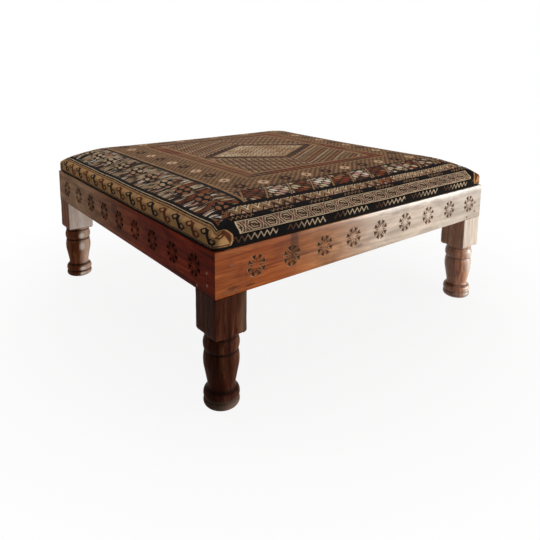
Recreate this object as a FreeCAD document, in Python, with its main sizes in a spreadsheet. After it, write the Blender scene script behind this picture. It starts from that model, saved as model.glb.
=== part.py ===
import FreeCAD, Part
import math
import os

import Sketcher
from FreeCAD import Placement, Rotation, Vector

# A low square ottoman: four mitred rails on turned legs, and a padded seat board
# wrapped in a flat-woven cover. The origin is on the floor under the middle of the
# seat, +X runs along the front rail to the right and +Z is up.

doc = FreeCAD.newDocument("kilim_ottoman")
sheet = doc.addObject("Spreadsheet::Sheet", "Sizes")
UP = Vector(0, 0, 1)


class Size:
    """A length that is known as a number and as a formula on the sheet's cells."""

    def __init__(self, text, number):
        self.text = text
        self.number = number

    def join(self, sign, other, number):
        return Size(f"({self.text} {sign} {other.text})", number)

    def __add__(self, other):
        other = plain(other)
        return self.join("+", other, self.number + other.number)

    def __sub__(self, other):
        other = plain(other)
        return self.join("-", other, self.number - other.number)

    def __mul__(self, other):
        other = plain(other)
        return self.join("*", other, self.number * other.number)

    def __truediv__(self, other):
        other = plain(other)
        return self.join("/", other, self.number / other.number)

    def __neg__(self):
        return Size(f"(0 - {self.text})", -self.number)


def plain(value):
    """A bare number as a Size."""
    return value if isinstance(value, Size) else Size(f"{value:.5f}", value)


def size(alias, number, note):
    """Adds a driving dimension to the sheet."""
    row = size.next_row
    size.next_row = row + 1
    sheet.set(f"A{row}", note)
    sheet.set(f"B{row}", str(number))
    sheet.setAlias(f"B{row}", alias)
    return Size(f"Sizes.{alias}", number)


size.next_row = 1

# Frame
side = size("side", 1000, "outside of the square frame")
rail_top = size("rail_top", 370, "floor to the top of the rails")
rail_height = size("rail_height", 103, "height of a rail")
rail_thickness = size("rail_thickness", 22, "thickness of a rail")
rail_edge = size("rail_edge", 2, "rounding along a rail's outer edges")

# Legs: a square block, a post that stands inside the frame's corner and a turned foot
leg_width = size("leg_width", 82, "width of the square block")
block_bottom = size("block_bottom", 171, "floor to the underside of the block")
block_edge = size("block_edge", 2, "rounding of the block's upright edges")
foot_flat = size("foot_flat", 34, "radius of the foot where it meets the floor")
foot_radius = size("foot_radius", 41, "foot, ring and collar at their widest")
foot_middle = size("foot_middle", 9, "height of the foot's widest place")
foot_top = size("foot_top", 18, "groove between the foot and the ring")
foot_groove = size("foot_groove", 38, "radius in that groove")
ring_middle = size("ring_middle", 28, "height of the ring's widest place")
ring_top = size("ring_top", 37, "top of the ring")
ring_shoulder = size("ring_shoulder", 38.5, "radius at the ring's top")
cove_middle = size("cove_middle", 43, "height half way up the cove")
cove_radius = size("cove_radius", 33.2, "radius half way up the cove")
neck_height = size("neck_height", 51, "height of the neck")
neck_radius = size("neck_radius", 31.3, "radius of the neck")
taper_top = size("taper_top", 88, "top of the straight taper")
taper_radius = size("taper_radius", 38.2, "radius at the top of the taper")
belly_height = size("belly_height", 113, "height of the belly's widest place")
belly_radius = size("belly_radius", 40.6, "radius of the belly")
collar_low = size("collar_low", 132, "groove under the collar")
collar_groove = size("collar_groove", 37.5, "radius in that groove and above the collar")
collar_middle = size("collar_middle", 147, "height of the collar's widest place")
collar_high = size("collar_high", 162, "top of the collar")

# Seat
kilim = size("kilim", 3, "thickness of the woven cover")
hem = size("hem", 50, "how far the cover runs in under the seat")
board_thickness = size("board_thickness", 12, "thickness of the seat board")
wadding_thickness = size("wadding_thickness", 8, "thickness of the wadding")
edge_inset = size("edge_inset", 0.5, "how far the cover stands in from the rails' faces")
tuck_inset = size("tuck_inset", 4, "how far the cover's lower edge curls in")
tuck_height = size("tuck_height", 4, "height of that curl")
wall_height = size("wall_height", 22, "upright part of the cover's edge")
edge_round = size("edge_round", 35, "rounding from the edge to the top")
crown = size("crown", 31, "rise from the rounding to the middle of the seat")
crown_flat = size("crown_flat", 90, "half width of the flat middle of the crown")
corner_radius = size("corner_radius", 18, "corner of the seat, seen from above")
shoulder_radius = size("shoulder_radius", 130, "corner where the rounding ends")

# Inner frame
cleat_width = size("cleat_width", 25, "square section of a cleat")
batten_width = size("batten_width", 70, "width of a batten")
batten_thickness = size("batten_thickness", 20, "thickness of a batten")
batten_pitch = size("batten_pitch", 250, "middle of one batten to the next")
end_gap = size("end_gap", 1, "gap at the ends of the cleats and battens")

# Fasteners
nail_length = size("nail_length", 60, "length of a rail nail")
nail_radius = size("nail_radius", 1.6, "radius of a rail nail")
nail_head = size("nail_head", 3.4, "radius of its head")
nail_head_height = size("nail_head_height", 1.4, "thickness of its head")
screw_radius = size("screw_radius", 2, "radius of a screw")
screw_head = size("screw_head", 4, "radius of a screw's sunk head")
screw_head_height = size("screw_head_height", 2.4, "depth of a screw's sunk head")
cleat_screw_length = size("cleat_screw_length", 40, "screw from a cleat into its rail")
batten_screw_length = size("batten_screw_length", 40, "screw from a batten into a cleat")
seat_screw_length = size("seat_screw_length", 32, "screw from a batten into the board")
staple_width = size("staple_width", 10, "width of a staple")
staple_wire = size("staple_wire", 1, "thickness of a staple's wire")
staple_length = size("staple_length", 10, "length of a staple's prongs")
staple_inset = size("staple_inset", 38, "staples, in from the rails' faces")
staple_end = size("staple_end", 60, "last staple of a row, in from the corner")
doc.recompute()

# Places that follow from the driving dimensions
half = side / 2
rail_bottom = rail_top - rail_height
leg_middle = half - leg_width / 2
board_bottom = rail_top + kilim
board_top = board_bottom + board_thickness
board_inset = edge_inset + kilim
edge_angles = (0, 20, 38, 56, 72)
crown_shares = (0.1, 0.22, 0.38, 0.6, 1.0)
seat_height = wall_height + edge_round * math.sin(math.radians(edge_angles[-1])) + crown
batten_bottom = rail_top - batten_thickness
cleat_bottom = batten_bottom - cleat_width
cleat_middle = half - rail_thickness - cleat_width / 2
zero = plain(0.0)
tolerance = 0.001


def bind(obj, target, length):
    obj.setExpression(target, length.text)


def place(obj, x, y, z, turn=Rotation()):
    """Puts an object at x, y, z, turned about its own origin."""
    obj.Placement = Placement(Vector(x.number, y.number, z.number), turn)
    for axis, length in zip("xyz", (x, y, z)):
        bind(obj, f"Placement.Base.{axis}", length)


def turned(quarters):
    """A turn about the upright axis, in quarter turns."""
    return Rotation(UP, 90 * quarters)


def corner_place(quarters, along, out):
    """A place given along and out from one side, for the side after some quarter turns."""
    return ((along, -out), (out, along), (-along, out), (-out, -along))[quarters]


def new_sketch(body, name, role, offset=zero):
    """A sketch on one of the body's own origin planes, or parallel to it."""
    sketch = body.newObject("Sketcher::SketchObject", name)
    plane = next(item for item in body.Origin.OriginFeatures if item.Role == role)
    sketch.AttachmentSupport = [(plane, "")]
    sketch.MapMode = "FlatFace"
    bind(sketch, "AttachmentOffset.Base.z", offset)
    return sketch


def dimension(sketch, constraint, length):
    index = sketch.addConstraint(constraint)
    bind(sketch, f"Constraints[{index}]", length)


def pin(sketch, edge, vertex, x, y):
    """Ties a sketch point to its place from the sketch's origin."""
    for kind, length, axis in (("DistanceX", x, -2), ("DistanceY", y, -1)):
        if length.number == 0:
            sketch.addConstraint(Sketcher.Constraint("PointOnObject", edge, vertex, axis))
        elif length.number > 0:
            tie = Sketcher.Constraint(kind, -1, 1, edge, vertex, length.number)
            dimension(sketch, tie, length)
        else:
            tie = Sketcher.Constraint(kind, edge, vertex, -1, 1, -length.number)
            dimension(sketch, tie, -length)


def draw_outline(sketch, corners):
    """A closed outline. A corner is (x, y), or (x, y, via x, via y) at the end of an arc."""
    points = [Vector(corner[0].number, corner[1].number, 0) for corner in corners]
    first_vertex = []
    last_vertex = []
    for step, start in enumerate(points):
        after = (step + 1) % len(points)
        target = corners[after]
        if len(target) == 2:
            sketch.addGeometry(Part.LineSegment(start, points[after]))
            forward = True
        else:
            via = Vector(target[2].number, target[3].number, 0)
            sketch.addGeometry(Part.Arc(start, via, points[after]))
            forward = sketch.getPoint(step, 1).isEqual(start, tolerance)
        first_vertex.append(1 if forward else 2)
        last_vertex.append(2 if forward else 1)
    for step, corner in enumerate(corners):
        before = step - 1 if step else len(corners) - 1
        meet = Sketcher.Constraint("Coincident", before, last_vertex[before], step, first_vertex[step])
        sketch.addConstraint(meet)
        pin(sketch, step, first_vertex[step], corner[0], corner[1])
        if len(corner) == 4:
            mark = sketch.addGeometry(Part.Point(Vector(corner[2].number, corner[3].number, 0)), True)
            pin(sketch, mark, 1, corner[2], corner[3])
            sketch.addConstraint(Sketcher.Constraint("PointOnObject", mark, 1, before))


def draw_rounded_square(sketch, reach, radius):
    """A square about the sketch's origin, reach from the middle to each side."""
    inner = reach.number - radius.number
    for quarter in range(4):
        turn = Rotation(UP, 90 * quarter)
        start = turn.multVec(Vector(-inner, -reach.number, 0))
        end = turn.multVec(Vector(inner, -reach.number, 0))
        sketch.addGeometry(Part.LineSegment(start, end))
        circle = Part.Circle(turn.multVec(Vector(inner, -inner, 0)), UP, radius.number)
        low = math.radians(90 * (quarter - 1))
        sketch.addGeometry(Part.ArcOfCircle(circle, low, low + math.pi / 2))
    for quarter in range(4):
        line = 2 * quarter
        arc = line + 1
        sketch.addConstraint(Sketcher.Constraint("Tangent", line, 2, arc, 1))
        sketch.addConstraint(Sketcher.Constraint("Tangent", arc, 2, (line + 2) % 8, 1))
        sketch.addConstraint(Sketcher.Constraint("Vertical" if quarter % 2 else "Horizontal", line))
        if quarter:
            sketch.addConstraint(Sketcher.Constraint("Equal", 1, arc))
    for kind, low_line, high_line in (("DistanceY", 0, 4), ("DistanceX", 6, 2)):
        below = Sketcher.Constraint(kind, low_line, 1, -1, 1, reach.number)
        above = Sketcher.Constraint(kind, -1, 1, high_line, 1, reach.number)
        dimension(sketch, below, reach)
        dimension(sketch, above, reach)
    dimension(sketch, Sketcher.Constraint("Radius", 1, radius.number), radius)


def new_body(name):
    return doc.addObject("PartDesign::Body", name)


def pad(body, name, sketch, length):
    feature = body.newObject("PartDesign::Pad", name)
    feature.Profile = sketch
    bind(feature, "Length", length)
    return feature


def round_edges(body, name, base, radius, chosen):
    """Rounds the edges of the base feature that the test picks."""
    doc.recompute()
    picked = [f"Edge{number}" for number, edge in enumerate(base.Shape.Edges, start=1) if chosen(edge)]
    feature = body.newObject("PartDesign::Fillet", name)
    feature.Base = (base, picked)
    bind(feature, "Radius", radius)
    return feature


def new_box(name, length, width, height):
    box = doc.addObject("Part::Box", name)
    bind(box, "Length", length)
    bind(box, "Width", width)
    bind(box, "Height", height)
    return box


def compound(name, members):
    group = doc.addObject("Part::Compound", name)
    group.Links = members
    return group


def cut(name, blank, tool):
    result = doc.addObject("Part::Cut", name)
    result.Base = blank
    result.Tool = tool
    result.Refine = False
    result.Label = name
    return result


def make_fastener(name, shank_radius, length, head_radius, head_height, sunk):
    """A nail or screw along +Z, with the outer face of its head at the origin."""
    shank = doc.addObject("Part::Cylinder", f"{name}_shank")
    bind(shank, "Radius", shank_radius)
    bind(shank, "Height", length)
    if sunk:
        head = doc.addObject("Part::Cone", f"{name}_head")
        bind(head, "Radius1", head_radius)
        bind(head, "Radius2", shank_radius)
    else:
        head = doc.addObject("Part::Cylinder", f"{name}_head")
        bind(head, "Radius", head_radius)
    bind(head, "Height", head_height)
    whole = doc.addObject("Part::Fuse", name)
    whole.Base = shank
    whole.Tool = head
    return whole


def make_staple(name):
    """A staple with its crown along X at the origin and its prongs along +Z."""
    legs = []
    for edge in (-1, 1):
        prong = new_box(f"{name}_prong", staple_wire, staple_wire, staple_length)
        place(prong, (staple_width - staple_wire) / 2 * edge - staple_wire / 2, -staple_wire / 2, zero)
        legs.append(prong)
    bridge = new_box(f"{name}_crown", staple_width, staple_wire, staple_wire)
    place(bridge, -staple_width / 2, -staple_wire / 2, zero)
    whole = doc.addObject("Part::MultiFuse", name)
    whole.Shapes = [bridge, *legs]
    return whole


def fastener_group(name, pattern, places):
    """One fastener repeated at each place: x, y, z and the turn of its +Z axis."""
    copies = []
    for x, y, z, turn in places:
        copy = doc.addObject("App::Link", f"{name}_copy")
        copy.LinkedObject = pattern
        copy.LinkTransform = False
        place(copy, x, y, z, turn)
        copies.append(copy)
    group = compound(name, copies)
    group.Label = name
    return group


def make_rail(name, quarters):
    """A mitred board with its outer face on the side after some quarter turns."""
    body = new_body(f"{name}_blank")
    sketch = new_sketch(body, f"{name}_plan", "XY_Plane")
    inner = half - rail_thickness
    draw_outline(sketch, [(-half, zero), (half, zero), (inner, rail_thickness), (-inner, rail_thickness)])
    board = pad(body, f"{name}_board", sketch, rail_height)

    def is_outer_long_edge(edge):
        long_enough = edge.Length > side.number - rail_edge.number
        return long_enough and abs(edge.CenterOfMass.y) < tolerance

    round_edges(body, f"{name}_edges", board, rail_edge, is_outer_long_edge)
    x, y = corner_place(quarters, zero, half)
    place(body, x, y, rail_bottom, turned(quarters))
    return body


def make_leg(name, quarters):
    """A leg for the corner to the left of the side after some quarter turns."""
    body = new_body(f"{name}_blank")
    edge = leg_width / 2
    inset = edge - rail_thickness

    block_sketch = new_sketch(body, f"{name}_block_plan", "XY_Plane", block_bottom)
    draw_outline(block_sketch, [(-edge, -edge), (edge, -edge), (edge, edge), (-edge, edge)])
    block = pad(body, f"{name}_block", block_sketch, rail_bottom - block_bottom)

    def is_upright(shape_edge):
        return abs(shape_edge.BoundBox.ZLength - shape_edge.Length) < tolerance

    round_edges(body, f"{name}_block_edges", block, block_edge, is_upright)

    post_sketch = new_sketch(body, f"{name}_post_plan", "XY_Plane", rail_bottom)
    corners = [(-inset, -inset), (edge, -inset), (edge, edge), (-inset, edge)]
    draw_outline(post_sketch, corners)
    pad(body, f"{name}_post", post_sketch, rail_height)

    profile = new_sketch(body, f"{name}_profile", "XZ_Plane")
    draw_outline(profile, [
        (zero, zero),
        (foot_flat, zero),
        (foot_groove, foot_top, foot_radius, foot_middle),
        (ring_shoulder, ring_top, foot_radius, ring_middle),
        (neck_radius, neck_height, cove_radius, cove_middle),
        (taper_radius, taper_top),
        (collar_groove, collar_low, belly_radius, belly_height),
        (collar_groove, collar_high, foot_radius, collar_middle),
        (collar_groove, block_bottom),
        (zero, block_bottom),
    ])
    turning = body.newObject("PartDesign::Revolution", f"{name}_turning")
    turning.Profile = profile
    turning.ReferenceAxis = (profile, ["V_Axis"])
    turning.Angle = 360
    x, y = corner_place(quarters, -leg_middle, leg_middle)
    place(body, x, y, zero, turned(quarters))
    return body


def seat_sections(tuck):
    """Height over the rails, inset and corner radius of the seat's level sections, from below."""
    sections = []
    if tuck:
        sections.append((zero, tuck_inset, corner_radius))
        sections.append((tuck_height, edge_inset, corner_radius))
    else:
        sections.append((board_top - rail_top, edge_inset, corner_radius))
    widening = shoulder_radius - corner_radius
    for angle in edge_angles:
        rise = math.sin(math.radians(angle))
        draw_in = 1 - math.cos(math.radians(angle))
        height = wall_height + edge_round * rise
        inset = edge_inset + edge_round * draw_in
        sections.append((height, inset, corner_radius + widening * draw_in))
    span = half - inset - crown_flat
    for share in crown_shares:
        rise = crown * (1 - (1 - share) ** 4)
        radius = shoulder_radius - (shoulder_radius - crown_flat / 2) * share
        sections.append((height + rise, inset + span * share, radius))
    return sections


def make_seat_form(name, depth, tuck=False):
    """The crowned seat with its pulled-down corners, a depth inside the cover's outer face."""
    body = new_body(name)
    base = board_top - rail_top
    squeeze = (seat_height - depth - base) / (seat_height - base)
    sketches = []
    for number, (height, inset, radius) in enumerate(seat_sections(tuck)):
        if not tuck:
            height = base + (height - base) * squeeze
        sketch = new_sketch(body, f"{name}_section_{number}", "XY_Plane", rail_top + height)
        draw_rounded_square(sketch, half - inset - depth, radius)
        sketches.append(sketch)
    doc.recompute()
    form = body.newObject("PartDesign::AdditiveLoft", f"{name}_loft")
    form.Profile = sketches[0]
    form.Sections = sketches[1:]
    form.Ruled = True
    return body


# Fasteners come first, because each piece is drilled by the fasteners that pass through it.
nail = make_fastener("nail", nail_radius, nail_length, nail_head, nail_head_height, sunk=False)
cleat_screw = make_fastener("cleat_screw", screw_radius, cleat_screw_length, screw_head,
                            screw_head_height, sunk=True)
batten_screw = make_fastener("batten_screw", screw_radius, batten_screw_length, screw_head,
                             screw_head_height, sunk=True)
seat_screw = make_fastener("seat_screw", screw_radius, seat_screw_length, screw_head,
                           screw_head_height, sunk=True)
staple = make_staple("staple")

# Each rail is nailed into the posts: distance from the corner and height over the rail's bottom.
left_end_nails = ((31, 9), (51, 9), (42, 67))
right_end_nails = ((32, 22), (32, 50), (73, 9))
nail_places = []
for quarters in range(4):
    inward = turned(quarters).multiply(Rotation(UP, Vector(0, 1, 0)))
    for end, pattern in ((-1, left_end_nails), (1, right_end_nails)):
        for from_corner, height in pattern:
            x, y = corner_place(quarters, (half - from_corner) * end, half)
            nail_places.append((x, y, rail_bottom + height, inward))
rail_nails = fastener_group("rail_nails", nail, nail_places)

cleat_screw_steps = (-1.5, -0.5, 0.5, 1.5)
cleat_screw_places = []
for quarters in (0, 2):
    outward = turned(quarters).multiply(Rotation(UP, Vector(0, -1, 0)))
    for step in cleat_screw_steps:
        x, y = corner_place(quarters, batten_pitch * step, half - rail_thickness - cleat_width)
        cleat_screw_places.append((x, y, cleat_bottom + cleat_width / 2, outward))
cleat_screws = fastener_group("cleat_screws", cleat_screw, cleat_screw_places)

downward = Rotation(UP, -UP)
batten_steps = (-1, 0, 1)
seat_screw_reaches = (-0.8, -0.3, 0.3, 0.8)
batten_screw_places = []
seat_screw_places = []
for step in batten_steps:
    x = batten_pitch * step
    for end in (-1, 1):
        batten_screw_places.append((x, cleat_middle * end, rail_top, downward))
    for reach in seat_screw_reaches:
        seat_screw_places.append((x, half * reach, batten_bottom, Rotation()))
batten_screws = fastener_group("batten_screws", batten_screw, batten_screw_places)
seat_screws = fastener_group("seat_screws", seat_screw, seat_screw_places)

staples_per_side = 16
staple_row = half - staple_end
staple_places = []
for quarters in range(4):
    for number in range(staples_per_side):
        along = staple_row * (2 * number / (staples_per_side - 1) - 1)
        x, y = corner_place(quarters, along, half - staple_inset)
        staple_places.append((x, y, rail_top, turned(quarters)))
cover_staples = fastener_group("cover_staples", staple, staple_places)

# Frame
rail_holes = compound("rail_holes", [rail_nails, cleat_screws])
rails = []
for quarters, name in enumerate(("front_rail", "right_rail", "back_rail", "left_rail")):
    rails.append(cut(name, make_rail(name, quarters), rail_holes))

legs = []
for quarters, name in enumerate(("leg_front_left", "leg_front_right", "leg_back_right", "leg_back_left")):
    legs.append(cut(name, make_leg(name, quarters), rail_nails))

# Inner frame
cleat_holes = compound("cleat_holes", [cleat_screws, batten_screws])
cleat_length = side - leg_width * 2 - end_gap * 2
cleats = []
for name, end in (("front_cleat", -1), ("back_cleat", 1)):
    blank = new_box(f"{name}_blank", cleat_length, cleat_width, cleat_width)
    place(blank, -cleat_length / 2, cleat_middle * end - cleat_width / 2, cleat_bottom)
    cleats.append(cut(name, blank, cleat_holes))

batten_holes = compound("batten_holes", [batten_screws, seat_screws])
batten_length = side - rail_thickness * 2 - end_gap * 2
battens = []
for name, step in zip(("left_batten", "middle_batten", "right_batten"), batten_steps):
    blank = new_box(f"{name}_blank", batten_width, batten_length, batten_thickness)
    place(blank, batten_pitch * step - batten_width / 2, -batten_length / 2, batten_bottom)
    battens.append(cut(name, blank, batten_holes))

# Seat
board_blank = new_body("seat_board_blank")
board_sketch = new_sketch(board_blank, "board_plan", "XY_Plane", board_bottom)
draw_rounded_square(board_sketch, half - board_inset, corner_radius)
pad(board_blank, "board_panel", board_sketch, board_thickness)
seat_board = cut("seat_board", board_blank, compound("board_holes", [seat_screws, cover_staples]))

foam_pad = make_seat_form("foam_pad", kilim + wadding_thickness)
wadding_form = make_seat_form("wadding_form", kilim)
wadding = cut("wadding", wadding_form, foam_pad)

cover_form = make_seat_form("cover_form", zero, tuck=True)
hem_reach = half - hem
hem_opening = new_box("hem_opening", hem_reach * 2, hem_reach * 2, kilim)
place(hem_opening, -hem_reach, -hem_reach, rail_top)
cover_hollow = doc.addObject("Part::MultiFuse", "cover_hollow")
cover_hollow.Shapes = [board_blank, wadding_form, hem_opening]
cover_hollow.Refine = False
cover_shell = cut("cover_shell", cover_form, cover_hollow)
kilim_cover = cut("kilim_cover", cover_shell, cover_staples)

doc.recompute()

nodes = [*rails, *legs, *cleats, *battens, seat_board, foam_pad, wadding, kilim_cover,
         rail_nails, cleat_screws, batten_screws, seat_screws, cover_staples]
for obj in doc.Objects:
    if "Invalid" in obj.State or "Error" in obj.State:
        raise RuntimeError(f"{obj.Name} failed: {obj.State}")
for node in nodes:
    if node.Shape.isNull() or not node.Shape.isValid():
        raise RuntimeError(f"{node.Label} has no valid shape")

os.makedirs("parts", exist_ok=True)
for node in nodes:
    solids = node.Shape.Solids
    print(f"{node.Label}: {len(solids)} solid(s), {node.Shape.Volume / 1000:.1f} cm3")
    node.Shape.exportStep(f"parts/{node.Label}.step")
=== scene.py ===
import cmath
import math
import random

import bpy
import numpy as np
from mathutils import Matrix, Vector


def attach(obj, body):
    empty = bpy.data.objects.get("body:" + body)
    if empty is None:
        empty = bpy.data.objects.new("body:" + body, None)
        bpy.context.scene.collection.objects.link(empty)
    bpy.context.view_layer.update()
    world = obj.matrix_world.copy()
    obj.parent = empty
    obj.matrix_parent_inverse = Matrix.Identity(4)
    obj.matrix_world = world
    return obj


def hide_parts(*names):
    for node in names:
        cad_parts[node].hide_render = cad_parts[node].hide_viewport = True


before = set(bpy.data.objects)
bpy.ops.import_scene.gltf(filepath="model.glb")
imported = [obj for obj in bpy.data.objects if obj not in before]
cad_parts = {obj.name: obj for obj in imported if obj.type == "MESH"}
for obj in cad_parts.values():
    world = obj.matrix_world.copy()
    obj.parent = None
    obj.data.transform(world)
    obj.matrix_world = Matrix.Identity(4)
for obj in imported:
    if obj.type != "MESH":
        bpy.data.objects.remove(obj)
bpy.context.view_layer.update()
print("frame loaded")


# small helpers for working in the viewport's way

nearby = 0.0001
tiny = 1e-6


def setMode(mode):
    bpy.ops.object.mode_set(mode=mode)


def deselectAll():
    if bpy.context.mode != "OBJECT":
        setMode("OBJECT")
    bpy.ops.object.select_all(action="DESELECT")


def makeActive(obj):
    deselectAll()
    obj.select_set(True)
    bpy.context.view_layer.objects.active = obj


def named(obj, name):
    obj.name = name
    obj.data.name = name
    return obj


def discard(obj):
    bpy.data.objects.remove(obj, do_unlink=True)


def added(name):
    obj = named(bpy.context.active_object, name)
    bpy.ops.object.transform_apply(location=True, rotation=True, scale=True)
    return obj


def everyItem(mesh, item):
    return True


def selectWhere(obj, kind, test):
    # leaves edit mode open with the wanted vertices, edges or faces picked
    makeActive(obj)
    setMode("EDIT")
    bpy.ops.mesh.select_mode(type=kind)
    bpy.ops.mesh.select_all(action="DESELECT")
    setMode("OBJECT")
    mesh = obj.data
    items = {"VERT": mesh.vertices, "EDGE": mesh.edges, "FACE": mesh.polygons}[kind]
    for item in items:
        item.select = test(mesh, item)
    setMode("EDIT")


def edgeEnds(mesh, edge):
    return [mesh.vertices[index].co for index in edge.vertices]


def runsAlong(mesh, edge, axis, shortest=0.0):
    first, second = edgeEnds(mesh, edge)
    line = second - first
    return abs(line[axis]) > 0.99 * line.length and line.length > shortest


def makeBox(name, middle, size):
    deselectAll()
    bpy.ops.mesh.primitive_cube_add(size=1, location=middle, scale=size)
    return added(name)


def subdivideAlong(obj, axis, cuts, shortest=0.0):
    selectWhere(obj, "EDGE", lambda mesh, edge: runsAlong(mesh, edge, axis, shortest))
    bpy.ops.mesh.subdivide(number_cuts=cuts)


def bevelEdges(obj, test, offset, segments):
    selectWhere(obj, "EDGE", test)
    bpy.ops.mesh.bevel(offset=offset, segments=segments, affect="EDGES")


def applyModifier(obj, kind, **settings):
    makeActive(obj)
    modifier = obj.modifiers.new(kind.lower(), kind)
    for key, value in settings.items():
        setattr(modifier, key, value)
    bpy.ops.object.modifier_apply(modifier=modifier.name)


def copyOf(obj, name, matrix=None):
    twin = obj.copy()
    twin.data = obj.data.copy()
    named(twin, name)
    bpy.context.scene.collection.objects.link(twin)
    if matrix is not None:
        twin.data.transform(matrix)
    return twin


def joined(name, pieces):
    deselectAll()
    for piece in pieces:
        piece.select_set(True)
    bpy.context.view_layer.objects.active = pieces[0]
    bpy.ops.object.join()
    return named(pieces[0], name)


def cutWith(obj, cutter, how="DIFFERENCE"):
    applyModifier(obj, "BOOLEAN", object=cutter, operation=how, solver="EXACT")
    discard(cutter)


def recalcNormals(obj):
    selectWhere(obj, "FACE", everyItem)
    bpy.ops.mesh.remove_doubles(threshold=0.00001)
    bpy.ops.mesh.normals_make_consistent(inside=False)
    setMode("OBJECT")


def smoothAll(obj):
    makeActive(obj)
    bpy.ops.object.shade_smooth()


def smoothByAngle(obj, degrees):
    makeActive(obj)
    bpy.ops.object.shade_smooth_by_angle(angle=math.radians(degrees))


def vertexGroup(obj, name, weightOf):
    group = obj.vertex_groups.new(name=name)
    for vertex in obj.data.vertices:
        weight = weightOf(vertex.co)
        if weight > 0:
            group.add([vertex.index], weight, "REPLACE")


def unevenness(name, size):
    texture = bpy.data.textures.new(name, "CLOUDS")
    texture.noise_scale = size
    texture.noise_depth = 2
    return texture


def quarterTurn(quarters):
    return Matrix.Rotation(math.radians(90 * quarters), 4, "Z")


# shader maths

def operator(operation):
    return lambda self, other=None: self.math(operation, self, other)


def reflected(operation):
    return lambda self, other: self.math(operation, other, self)


class Wire:
    def __init__(self, tree, socket=None):
        self.tree = tree
        self.socket = socket

    def node(self, kind, settings=None, links=None, out=0):
        node = self.tree.nodes.new("ShaderNode" + kind)
        for key, value in (settings or {}).items():
            if key == "stops":
                self.fillRamp(node.color_ramp, value)
            elif key == "steps":
                node.color_ramp.interpolation = value
            else:
                setattr(node, key, value)
        for key, value in (links or {}).items():
            if isinstance(value, Wire):
                self.tree.links.new(value.socket, node.inputs[key])
            else:
                node.inputs[key].default_value = value
        return Wire(self.tree, node.outputs[out] if len(node.outputs) else None)

    def fillRamp(self, ramp, stops):
        while len(ramp.elements) < len(stops):
            ramp.elements.new(0.5)
        for element, (place, colour) in zip(ramp.elements, stops):
            element.position = place
            element.color = (*colourOf(colour), 1.0)

    def math(self, operation, first, second=None):
        links = {0: first}
        if second is not None:
            links[1] = second
        return self.node("Math", {"operation": operation}, links)

    __add__, __radd__ = operator("ADD"), reflected("ADD")
    __sub__, __rsub__ = operator("SUBTRACT"), reflected("SUBTRACT")
    __mul__, __rmul__ = operator("MULTIPLY"), reflected("MULTIPLY")
    __truediv__, __rtruediv__ = operator("DIVIDE"), reflected("DIVIDE")
    __lt__, __gt__ = operator("LESS_THAN"), operator("GREATER_THAN")
    least, most = operator("MINIMUM"), operator("MAXIMUM")
    __abs__, floored, fraction = operator("ABSOLUTE"), operator("FLOOR"), operator("FRACT")

    def between(self, low, high):
        return (self > low) * (self < high)

    def eased(self, low, high):
        # 0 below low, 1 above high
        links = {"Value": self, "From Min": low, "From Max": high, "To Min": 0.0, "To Max": 1.0}
        return self.node("MapRange", {"interpolation_type": "SMOOTHSTEP"}, links)

    def ramp(self, *stops, steps="LINEAR"):
        return self.node("ValToRGB", {"steps": steps, "stops": stops}, {0: self})

    def pick(self, *stops):
        # a ramp of plain colours without blending
        return self.ramp(*stops, steps="CONSTANT")

    def axis(self, number):
        return self.node("SeparateXYZ", None, {0: self}, out=number)

    def stretched(self, scale, place=(0, 0, 0)):
        return self.node("Mapping", None, {"Vector": self, "Scale": scale, "Location": place})

    def noise(self, scale, detail=2.0, roughness=0.5, distortion=0.0):
        return self.node("TexNoise", None, {"Vector": self, "Scale": scale, "Detail": detail,
                                            "Roughness": roughness, "Distortion": distortion})


def colourOf(value):
    # a wool can be given by its name
    return wool[value] if isinstance(value, str) else value


def mixed(share, under, over, blend="MIX"):
    source = next(item for item in (share, under, over) if isinstance(item, Wire))
    links = {0: share}
    for place, colour in ((6, under), (7, over)):
        links[place] = colour if isinstance(colour, Wire) else (*colourOf(colour), 1.0)
    return source.node("Mix", {"data_type": "RGBA", "blend_type": blend}, links, out=2)


def newMaterial(name):
    material = bpy.data.materials.new(name)
    material.use_nodes = True
    tree = material.node_tree
    tree.nodes.clear()
    return material, Wire(tree)


def finishMaterial(wire, colour, roughness, height=None, strength=0.3, distance=0.001, **fixed):
    links = {"Base Color": colour, "Roughness": roughness}
    if height is not None:
        bump = {"Height": height, "Strength": strength, "Distance": distance}
        links["Normal"] = wire.node("Bump", None, bump)
    links.update({key.replace("_", " "): value for key, value in fixed.items()})
    shader = wire.node("BsdfPrincipled", None, links)
    wire.node("OutputMaterial", None, {"Surface": shader})


def objectCoords(wire):
    return wire.node("TexCoord", out="Object")


def setMaterial(obj, material):
    obj.data.materials.clear()
    obj.data.materials.append(material)


# camera, fitted to the photograph's lines

view = {
    "place": (-1.0659, -1.3915, 0.7704),
    "yaw": 38.42,
    "pitch": 8.94,
    "roll": 0.46,
    "lens": 35.97,
    "sensor": 36,
    "shift": -0.2407,
    "clip": (0.05, 50),
}


def makeCamera():
    bpy.ops.object.camera_add(location=view["place"])
    camera = bpy.context.active_object
    turn = (Matrix.Rotation(math.radians(-view["yaw"]), 3, "Z")
            @ Matrix.Rotation(math.radians(90 - view["pitch"]), 3, "X")
            @ Matrix.Rotation(math.radians(view["roll"]), 3, "Z"))
    camera.rotation_euler = turn.to_euler()
    camera.data.lens = view["lens"]
    camera.data.sensor_width = view["sensor"]
    camera.data.shift_y = view["shift"]
    camera.data.clip_start, camera.data.clip_end = view["clip"]
    bpy.context.scene.camera = camera


# studio

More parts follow.
